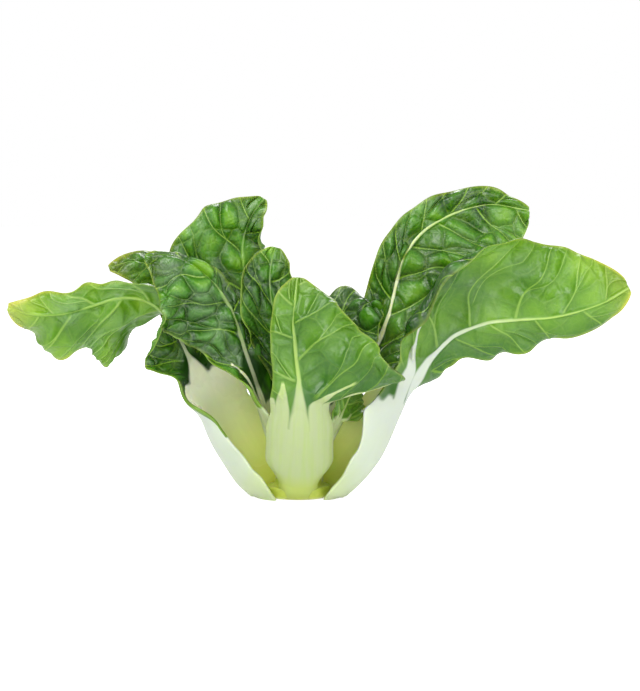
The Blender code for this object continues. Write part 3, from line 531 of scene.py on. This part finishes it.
# One dictionary for each leaf. Its form is the frame's, but left_inner and heart_right are up to 10 mm wider
# to close gaps beside the front stalk. azimuth is where it leaves the stem, path its midline, neck the point
# of the path where the blade begins, facing where its upper side looks. stalk, left and right are half
# widths, cup, fold and curl degrees of bend, all spaced evenly along the stalk or the blade, and ruffle and
# waves how steep and how many the waves of each half are. Its look: cell and spacing are mm between veins,
# tone the green of the upper and lower side from 0, darkest, to 1, paintedShade how much painted shade
# darkens its two halves, as where a half faces down, domes, pucker and ridges its relief, window and taper
# mm over which the pale bundles part and thin, bundle half their width there, strands their places as shares
# of the half width and their lengths as shares of the blade, rib how pale the rib is and whiteRib how far it
# stays so, wing the side, lowest share of the stalk and width in mm of the green along its rim, stalkGreen
# the green of its stalk, aged the yellow of its tip, bloomAndSheen its wax bloom and painted sheen, seed its
# veins.
leaves = {
    "right": dict(
        ring="outer", azimuth=10, neck=6,
        path=[(28.5, 4, 8), (36, 4, 17), (43, 3, 28), (49, 2, 40), (54, 0, 51), (60, -2, 61), (67, -4, 71),
              (78, -5, 81), (93, -6, 87), (108, -6, 89), (124, -6, 90), (139, -5, 93), (153, -4, 98),
              (165, -4, 105)],
        facing=[(-0.9, -0.3, 0.4), (-0.8, 0, 0.6), (-0.2, 0.9, 0.3), (0, 1, 0.15), (0, 1, 0.1),
                (0, 1, 0.1), (0, 1, 0.1)],
        stalk=[21, 28, 30, 13], cup=[82, 76, 42],
        left=[12, 22, 19, 15, 16, 13], right=[34, 46, 45, 41, 37, 28],
        fold=([0, 15, 25, 20], [0, 10, 20, 15]), curl=([10, 20, 20, 10], [-120, -190, -80, 20, 25]),
        ruffle=(16, 12), waves=(3.5, 3.0),
        look=dict(slot="blade_light", seed=3, cell=14, spacing=23, tone=(0.25, 0.43), paintedShade=(0.4, 0),
                  domes=0.55, pucker=0.9, ridges=5, aged=0.4, bloomAndSheen=0.06, stalkGreen=0.1, rib=0.85,
                  whiteRib=0.7, bundle=3.5, window=15, taper=32, strands=((0.45, 0.22),),
                  wing=(1, 0.75, 4)),
    ),
    "left": dict(
        ring="outer", azimuth=160, neck=6,
        path=[(-27, 9, 7), (-34, 10, 17), (-40, 10, 28), (-45, 9, 40), (-49, 8, 52), (-53, 6, 63),
              (-58, 3, 75), (-64, 0, 87), (-73, -4, 97), (-87, -8, 100), (-102, -9, 96), (-117, -9, 92),
              (-132, -8, 92), (-144, -7, 96)],
        facing=[(0.9, -0.35, 0.3), (0.85, -0.4, 0.4), (0.5, -0.85, 0.3), (0.2, -0.8, 0.6),
                (-0.1, 0.8, 0.6), (0, 1, 0.2), (0, 0.9, 0.4), (0, 0.8, 0.5)],
        stalk=[27, 29, 31, 26, 14], cup=[78, 70, 62, 45],
        left=[26, 17, 9, 13, 15, 9], right=[26, 41, 40, 29, 32, 19],
        fold=([10, 0, 15, 20], [-5, 0, 10, 25]), curl=([-10, -60, -40, 20], [0, 20, 30, 30]),
        ruffle=(20, 25), waves=(2.5, 3.0),
        look=dict(slot="blade_light", seed=5, cell=13, spacing=17, tone=(0.45, 0.5), paintedShade=(0, 0),
                  domes=1.0, pucker=1.0, ridges=6, aged=0.7, bloomAndSheen=0.16, stalkGreen=0.1, rib=0.6,
                  whiteRib=0.4, bundle=6, window=3, taper=14, strands=(), wing=(-1, 0.45, 6)),
    ),
    "back": dict(
        ring="second", azimuth=85, neck=4,
        path=[(2, 20, 18), (3, 28, 32), (4, 36, 46), (5, 44, 58), (8, 56, 68), (12, 70, 74), (16, 86, 73),
              (20, 100, 66), (23, 110, 56)],
        facing=[(0, -1, 0.4), (0, -0.9, 0.8), (0, -0.4, 1), (0, 0.2, 1), (0, 0.5, 0.8)],
        stalk=[13, 17, 12], cup=[62, 45],
        left=[18, 28, 33, 29, 17], right=[18, 29, 33, 28, 17],
        fold=([20, 20, 15, 0], [20, 20, 15, 0]), curl=([0, 20, -10, -40], [0, 10, -20, -40]),
        ruffle=(16, 16), waves=(2.0, 2.3),
        look=dict(slot="blade_dark", seed=7, cell=13, spacing=16, tone=(0.4, 0.45), paintedShade=(0, 0),
                  domes=1.2, pucker=1.0, ridges=5, aged=0.2, bloomAndSheen=0.08, stalkGreen=0.4, rib=0.8,
                  whiteRib=0.4, bundle=4, window=8, taper=22, strands=((0.45, 0.3), (-0.45, 0.3)),
                  wing=()),
    ),
    "front": dict(
        ring="second", azimuth=-90, neck=3,
        path=[(0.5, -19, 16), (1, -24, 32), (1, -26, 48), (0.5, -26, 62), (-1, -26, 76), (-2, -26, 90),
              (-1, -24, 102), (0, -19, 111)],
        facing=[(0, 1, 0), (0, 1, 0), (0.1, 1, 0), (0.15, 1, 0), (0.1, 1, -0.3)],
        stalk=[10, 18.5, 18.5, 15], cup=[50, 45],
        left=[54, 42, 33, 24, 13], right=[13, 12, 12, 12, 10],
        fold=([-8, 0, 5, 5], [-12, -8, 0, 0]), curl=([-25, -30, -20, -10], [20, 20, 10, 0]),
        ruffle=(12, 12), waves=(2.5, 2.5),
        look=dict(slot="blade_light", seed=11, cell=13, spacing=20, tone=(0.36, 0.36), paintedShade=(0.1, 0),
                  domes=0.65, pucker=1.1, ridges=4, aged=0.2, bloomAndSheen=0.05, stalkGreen=0.85, rib=0.7,
                  whiteRib=0.3, bundle=4.2, window=10, taper=26,
                  strands=((-0.5, 0.22), (-0.95, 0.2), (0.55, 0.25), (1.0, 0.1)), wing=()),
    ),
    "back_right": dict(
        ring="third", azimuth=28, neck=2,
        path=[(14, 10, 28), (24, 17, 48), (34, 22, 64), (43, 25, 80), (48, 26, 96), (51, 27, 110),
              (56, 29, 122), (66, 32, 133), (81, 35, 141), (98, 37, 145), (119, 39, 142)],
        facing=[(-0.8, -0.6, 0.3), (-0.6, -0.8, 0.2), (-0.2, -1, 0), (0, -1, 0.1), (0, -1, 0.2),
                (0, -1, 0.3)],
        stalk=[6.6, 16, 13], cup=[45, 40],
        left=[15, 15, 14, 13, 10], right=[24, 42, 53, 54, 38],
        fold=([30, 28, 20, 10], [20, 22, 20, 10]), curl=([10, -10, -30, -50], [0, 10, 0, -30]),
        ruffle=(14, 12), waves=(2.5, 2.3),
        look=dict(slot="blade_dark", seed=13, cell=16, spacing=19, tone=(0.45, 0.45), paintedShade=(0, 0),
                  domes=1.7, pucker=1.3, ridges=4, aged=0.1, bloomAndSheen=0.12, stalkGreen=0.15, rib=1.0,
                  whiteRib=0.95, bundle=4, window=6, taper=20, strands=((0.25, 0.3),), wing=()),
    ),
    "back_left": dict(
        ring="third", azimuth=117, neck=2,
        path=[(-9, 13, 28), (-16, 22, 46), (-22, 32, 64), (-36, 38, 84), (-53, 38, 100), (-70, 35, 111),
              (-84, 31, 116), (-97, 26, 113)],
        facing=[(0.4, -0.9, 0.3), (0.4, -0.9, 0.4), (0.3, -0.9, 0.6), (0, -0.9, 0.5), (-0.2, -0.8, 0.8)],
        stalk=[6.6, 10, 8], cup=[45, 40],
        left=[15, 22, 24, 18, 12], right=[20, 20, 16, 12, 10],
        fold=([10, 10, -10, -30], [10, 0, -10, -20]), curl=([10, -20, -30, -30], [10, 10, -20, -30]),
        ruffle=(18, 18), waves=(3.0, 2.5),
        look=dict(slot="blade_dark", seed=17, cell=11, spacing=14, tone=(0.45, 0.5), paintedShade=(0, 0),
                  domes=1.2, pucker=1.0, ridges=4, aged=0.3, bloomAndSheen=0.1, stalkGreen=0.6, rib=0.7,
                  whiteRib=0.4, bundle=3, window=6, taper=16, strands=((0.4, 0.3),), wing=()),
    ),
    "left_inner": dict(
        ring="third", azimuth=205, neck=3,
        path=[(-13, -5, 28), (-19, -7, 48), (-23, -9, 62), (-27, -11, 76), (-31, -13, 90), (-37, -14, 102),
              (-47, -15, 113), (-61, -16, 121), (-75, -16, 121)],
        facing=[(0.9, 0.1, 0.2), (0.8, -0.4, 0.3), (0.4, -0.9, 0.3), (0, -0.8, 0.6), (-0.2, -0.6, 0.8),
                (-0.3, -0.6, 0.8)],
        stalk=[6.6, 12, 16], cup=[45, 40],
        left=[20, 31, 36, 34, 19], right=[10, 10, 10, 10, 8],
        fold=([10, -10, -20, -25], [0, -20, -30, -25]), curl=([10, 20, -20, -40], [0, -20, -30, -20]),
        ruffle=(16, 12), waves=(3.0, 3.0),
        look=dict(slot="blade_dark", seed=19, cell=14, spacing=20, tone=(0.4, 0.45), paintedShade=(0, 0),
                  domes=1.5, pucker=1.4, ridges=4, aged=0.1, bloomAndSheen=0.15, stalkGreen=0.6, rib=0.5,
                  whiteRib=0.4, bundle=2.5, window=16, taper=24, strands=((-0.5, 0.15),), wing=()),
    ),
    "heart_right": dict(
        ring="third", azimuth=-55, neck=3,
        path=[(8, -10, 20), (13, -12, 29), (19, -12, 38), (23, -10, 46), (28, -8, 54), (35, -5, 59),
              (41, -2, 58)],
        facing=[(-0.8, 0.6, 0.2), (-0.7, 0.7, 0.3), (-0.4, 0.6, 0.6), (0, -0.1, 0.9)],
        stalk=[5.9, 6, 4], cup=[40, 30],
        left=[13, 18, 17, 13], right=[13, 18, 17, 13],
        fold=([0, 0, 0], [0, 0, 0]), curl=([-20, -40, -20], [-20, -40, -20]),
        ruffle=(24, 24), waves=(2.5, 2.5),
        look=dict(slot="blade_dark", seed=23, cell=8, spacing=10, tone=(0.45, 0.45), paintedShade=(0, 0),
                  domes=0.8, pucker=0.8, ridges=3, aged=0.0, bloomAndSheen=0.08, stalkGreen=0.8, rib=0.7,
                  whiteRib=0.5, bundle=2, window=4, taper=10, strands=((0.4, 0.3), (-0.4, 0.3)), wing=()),
    ),
    "back_inner": dict(
        ring="heart", azimuth=-30, neck=3,
        path=[(7.5, -2, 30), (10.5, 1, 46), (13, 5, 60), (17, 8, 73), (24, 10, 84), (33, 10, 91),
              (43, 9, 93)],
        facing=[(-0.8, -0.1, 0.2), (-0.6, -0.7, 0.3), (-0.3, -0.9, 0.5), (-0.2, -0.6, 0.9)],
        stalk=[4.2, 5, 5], cup=[40, 30],
        left=[16, 22, 22, 14], right=[16, 24, 24, 16],
        fold=([15, 20, 0], [15, 20, 0]), curl=([-20, -40, -40], [-20, -40, -40]),
        ruffle=(14, 14), waves=(3.0, 3.0),
        look=dict(slot="blade_dark", seed=29, cell=10, spacing=12, tone=(0.3, 0.4), paintedShade=(0, 0),
                  domes=1.6, pucker=1.3, ridges=3, aged=0.0, bloomAndSheen=0.1, stalkGreen=0.8, rib=0.5,
                  whiteRib=0.5, bundle=2, window=4, taper=10, strands=(), wing=()),
    ),
    "upper_left": dict(
        ring="heart", azimuth=192, neck=3,
        path=[(-8, 0, 30), (-11, 6, 52), (-16, 9, 74), (-22, 12, 93), (-27, 13, 110), (-28, 13, 126),
              (-24, 12, 139), (-17, 10, 149)],
        facing=[(0.9, -0.4, 0.1), (0.5, -0.9, 0.1), (0.2, -1, 0.1), (0.2, -1, 0.2), (0.2, -0.9, 0.5)],
        stalk=[4.2, 5, 5], cup=[40, 30],
        left=[20, 32, 38, 28, 13], right=[10, 14, 14, 12, 8],
        fold=([10, 10, 10], [10, 20, 20]), curl=([-20, -30, -40], [20, 90, 120]),
        ruffle=(16, 12), waves=(3.0, 3.0),
        look=dict(slot="blade_dark", seed=31, cell=15, spacing=22, tone=(0.42, 0.45), paintedShade=(0, 0),
                  domes=1.4, pucker=1.3, ridges=3, aged=0.1, bloomAndSheen=0.12, stalkGreen=0.8, rib=0.5,
                  whiteRib=0.4, bundle=3, window=4, taper=14, strands=((-0.3, 0.3), (0.3, 0.2)), wing=()),
    ),
    "hood": dict(
        ring="heart", azimuth=80, neck=2,
        path=[(1, 6, 30), (-1, 5, 48), (-4, 2, 64), (-8, -3, 80), (-12, -7, 94), (-14, -7, 107),
              (-13, -5, 118), (-11, -2, 125)],
        facing=[(0, -1, 0), (0, -1, 0), (0, -1, 0), (0, -1, 0), (0, -1, 0)],
        stalk=[4, 4.4, 5], cup=[35, 30],
        left=[12, 16, 19, 18, 13], right=[12, 18, 18, 15, 12],
        fold=([15, 30, 10], [25, 30, 10]), curl=([20, 20, 40], [20, 20, 40]),
        ruffle=(12, 12), waves=(2.0, 2.0),
        look=dict(slot="blade_light", seed=37, cell=12, spacing=18, tone=(0.4, 0.42), paintedShade=(0, 0),
                  domes=0.9, pucker=0.9, ridges=3, aged=0.1, bloomAndSheen=0.03, stalkGreen=0.8, rib=0.6,
                  whiteRib=0.5, bundle=2.5, window=4, taper=12, strands=((-0.3, 0.3),), wing=()),
    ),
}
for name, entry in leaves.items():
    makeLeaf(name, entry, skins)

# The short stem that the stalks grow from: terraces of wet yellow-green flesh with a rounded shoulder
stem = dict(
    tops=(5.7, 9.9, 13.9, 16.9), radii=(16.2, 11.8, 7.2, 3.8), shoulder=2.4, sides=120,
    dark="9fb13c", mid="aebc4a", light="c0ca6c", cut="ccd08a",
    cutEdge=(0.3, 1.5),  # between these heights the paler cut fades into the side
    fleckSize=4.0, fleckHeight=0.5,  # mm across and high, the flecks where strands of the stem were cut
    glowDepth=4,  # mm that light passes into it
)


def makeStem():
    bpy.ops.mesh.primitive_cylinder_add(vertices=stem["sides"], radius=stem["radii"][0] * mm,
                                        depth=stem["tops"][0] * mm,
                                        location=(0, 0, stem["tops"][0] / 2 * mm))
    piece = bpy.context.object
    piece.name = piece.data.name = "stem"
    bpy.ops.object.transform_apply(location=True, rotation=True, scale=True)
    piece.data.materials.clear()
    bpy.ops.object.mode_set(mode="EDIT")
    bpy.ops.mesh.select_mode(type="FACE")
    bpy.ops.mesh.select_all(action="DESELECT")
    bpy.ops.object.mode_set(mode="OBJECT")
    for face in piece.data.polygons:
        face.select = face.normal.z > 0.9
    bpy.ops.object.mode_set(mode="EDIT")
    for k in range(1, len(stem["radii"])):
        bpy.ops.mesh.inset(thickness=(stem["radii"][k - 1] - stem["radii"][k]) * mm)
        rise = (stem["tops"][k] - stem["tops"][k - 1]) * mm
        bpy.ops.mesh.extrude_region_move(TRANSFORM_OT_translate={"value": (0, 0, rise)})
    bpy.ops.object.mode_set(mode="OBJECT")
    rounding = piece.modifiers.new("shoulder", "BEVEL")
    rounding.width = stem["shoulder"] * mm
    rounding.segments = 6
    rounding.limit_method = "ANGLE"
    bpy.ops.object.modifier_apply(modifier="shoulder")
    bpy.ops.object.shade_smooth_by_angle(angle=math.radians(40))
    return piece


def stemFlesh():  # wet flesh of the stem, with a soft gloss and the darker flecks of its strands
    flesh = bpy.data.materials.new("cutStem")
    flesh.use_nodes = True
    tree = flesh.node_tree
    shader = tree.nodes["Principled BSDF"]
    where = addNode(tree, "TexCoord", {}).outputs["Object"]
    fleck = addNode(tree, "TexNoise", {"Vector": where, "Scale": 1 / (stem["fleckSize"] * mm), "Detail": 3.0})
    body = addNode(tree, "ValToRGB", {0: fleck},
                   ((0.3, stem["dark"]), (0.55, stem["mid"]), (0.8, stem["light"])))
    up = addNode(tree, "SeparateXYZ", {0: where}).outputs["Z"]
    low, high = stem["cutEdge"]
    share = addNode(tree, "MapRange", {0: up, 1: low * mm, 2: high * mm, 3: 0.7, 4: 0.0})
    colour = addNode(tree, "Mix", {0: share, 6: body, 7: linear(stem["cut"])}, data_type="RGBA")
    tree.links.new(colour.outputs[2], shader.inputs["Base Color"])
    bump = addNode(tree, "Bump", {"Height": fleck, "Strength": 0.5, "Distance": stem["fleckHeight"] * mm})
    tree.links.new(bump.outputs["Normal"], shader.inputs["Normal"])
    shader.inputs["Roughness"].default_value = 0.35
    shader.inputs["Subsurface Weight"].default_value = 0.5
    shader.inputs["Subsurface Radius"].default_value = glowColour
    shader.inputs["Subsurface Scale"].default_value = stem["glowDepth"] * mm
    flesh.diffuse_color = linear(stem["mid"])
    return flesh


core = makeStem()
core.data.materials.append(stemFlesh())
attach(core, "root")
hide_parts("stem_core")
core.select_set(False)
print("stem done")

# A plain pale floor of matte paper, which the camera sees as white as the surround
floorSize, floorDrop = 8, 0.4 * mm  # metres across, and metres under the head
floorLight, floorSeen = 0.1, 0.8  # the light that it gives, and what the camera sees of it
bpy.ops.mesh.primitive_plane_add(size=floorSize, location=(0, 0, -floorDrop))
floor = bpy.context.object
floor.name = "floor"
paper = bpy.data.materials.new("matteWhitePaper")
paper.use_nodes = True
finish = paper.node_tree.nodes["Principled BSDF"].inputs
finish["Base Color"].default_value = linear("f7f7f7")
finish["Roughness"].default_value = 0.9
finish["Emission Color"].default_value = (1, 1, 1, 1)
seen = addNode(paper.node_tree, "LightPath", {}).outputs["Is Camera Ray"]
shine = addNode(paper.node_tree, "MapRange", {0: seen, 1: 0.0, 2: 1.0, 3: floorLight, 4: floorSeen})
paper.node_tree.links.new(shine.outputs[0], finish["Emission Strength"])
floor.data.materials.append(paper)

# A white surround, dimmer as a light than as the camera sees it, so that the soft lights shape the leaves
surroundLight = 0.35
world = bpy.data.worlds.new("studio")
bpy.context.scene.world = world
world.use_nodes = True
surround = world.node_tree.nodes["Background"]
surround.inputs["Color"].default_value = (1, 1, 1, 1)
seen = addNode(world.node_tree, "LightPath", {}).outputs["Is Camera Ray"]
strength = addNode(world.node_tree, "MapRange", {0: seen, 1: 0.0, 2: 1.0, 3: surroundLight, 4: 1.0})
world.node_tree.links.new(strength.outputs[0], surround.inputs["Strength"])

# place in metres, size of the soft box in metres, power in watts
lights = dict(
    key=((-0.55, -0.8, 1.1), 0.8, 12.6),
    fill=((0.9, -0.8, 0.5), 0.8, 4.5),
    front=((0.05, -1.4, 0.35), 0.7, 5.5),
    rim=((0.25, 0.9, 0.9), 0.7, 8),
)
target = Vector((0.011, 0, 0.0757))  # the middle of the photograph
for name, (place, size, power) in lights.items():
    light = bpy.data.lights.new(name, "AREA")
    light.size, light.energy = size, power
    holder = bpy.data.objects.new(name, light)
    holder.location = place
    holder.rotation_euler = (target - Vector(place)).to_track_quat("-Z", "Y").to_euler()
    bpy.context.scene.collection.objects.link(holder)

distance, fieldWidth = 1.1, 0.3455  # metres to the head, and metres across the view there
tilt = math.radians(5)  # the camera looks down this much
camera = bpy.data.objects.new("camera", bpy.data.cameras.new("camera"))
bpy.context.scene.collection.objects.link(camera)
camera.data.lens = camera.data.sensor_width * distance / fieldWidth
camera.location = target + distance * Vector((0, -math.cos(tilt), math.sin(tilt)))
camera.rotation_euler = (math.pi / 2 - tilt, 0, 0)
bpy.context.scene.camera = camera
bpy.context.scene.view_settings.view_transform = "Standard"
print("light and camera done")
